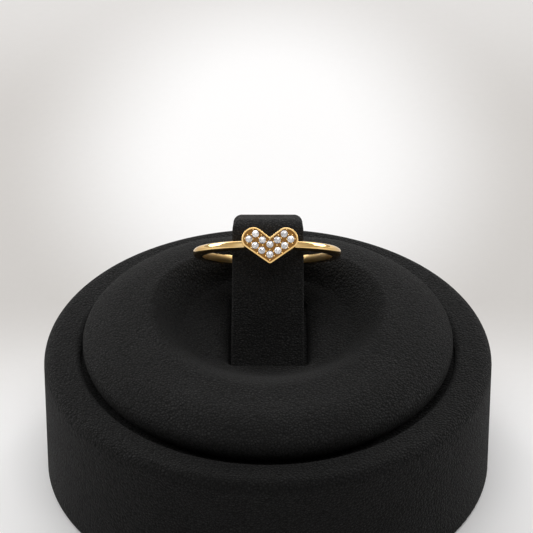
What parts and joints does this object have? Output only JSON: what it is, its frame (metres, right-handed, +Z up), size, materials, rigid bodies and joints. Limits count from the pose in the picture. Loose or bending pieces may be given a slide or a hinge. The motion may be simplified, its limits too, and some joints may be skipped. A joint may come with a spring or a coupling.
{
  "type": "heart ring on display stand",
  "caption": "Slim gold ring with a pave-set heart, resting on the leaning post of a round black leather display stand with a padded top.",
  "frame": {"origin": "middle of the drum's underside, on the surface it stands on", "axes": "+Z up along the drum's axis, -Y towards the side the heart faces, +X to the right as seen from that side"},
  "size_m": [0.06, 0.06, 0.0361],
  "materials": {
    "black_leather": "fine matt grain",
    "yellow_gold": "polished",
    "clear_stone": "brilliant cut"
  },
  "bodies": {
    "root": {"stand_base": "black_leather", "stand_pad": "black_leather", "stand_post": "black_leather", "gold_ring": "yellow_gold", "stone_01": "clear_stone", "stone_02": "clear_stone", "stone_03": "clear_stone", "stone_04": "clear_stone", "stone_05": "clear_stone", "stone_06": "clear_stone", "stone_07": "clear_stone", "stone_08": "clear_stone", "stone_09": "clear_stone", "stone_10": "clear_stone", "stone_11": "clear_stone", "stone_12": "clear_stone"}
  },
  "joints": []
}
